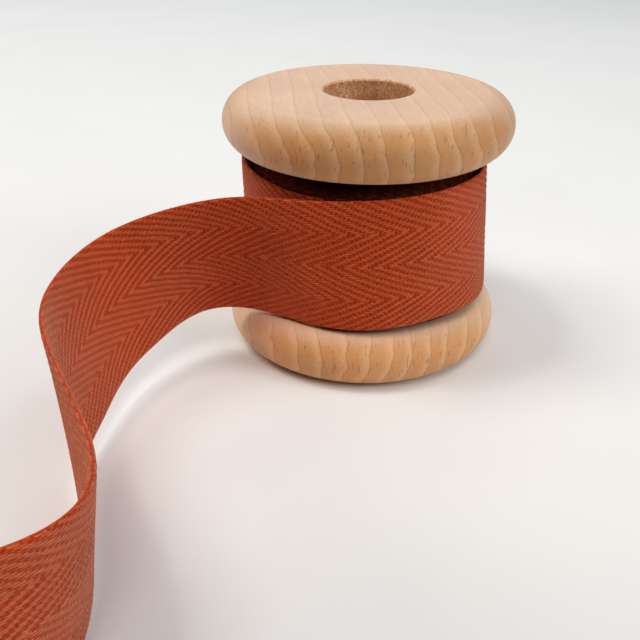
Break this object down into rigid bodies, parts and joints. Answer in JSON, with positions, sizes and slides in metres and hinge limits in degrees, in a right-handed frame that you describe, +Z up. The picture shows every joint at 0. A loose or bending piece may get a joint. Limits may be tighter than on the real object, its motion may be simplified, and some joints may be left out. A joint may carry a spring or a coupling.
{
  "type": "roll of cotton tape on a wooden spool",
  "caption": "Roll of herringbone cotton tape wound on a turned wooden spool, its loose end standing on edge and curving away in an S.",
  "frame": {"origin": "on the surface the spool stands on, under the middle of the whole part's bounding box", "axes": "+Z up along the spool's axis, -Y towards the viewer, where the free end runs to, +X to the viewer's right"},
  "size_m": [0.0794, 0.1258, 0.049],
  "materials": {
    "beech": "bare turned beech, sanded smooth",
    "cotton_tape": "matt cotton in a herringbone weave"
  },
  "bodies": {
    "root": {"spool": "beech", "wound_tape": "cotton_tape", "loose_tape": "cotton_tape"}
  },
  "joints": []
}
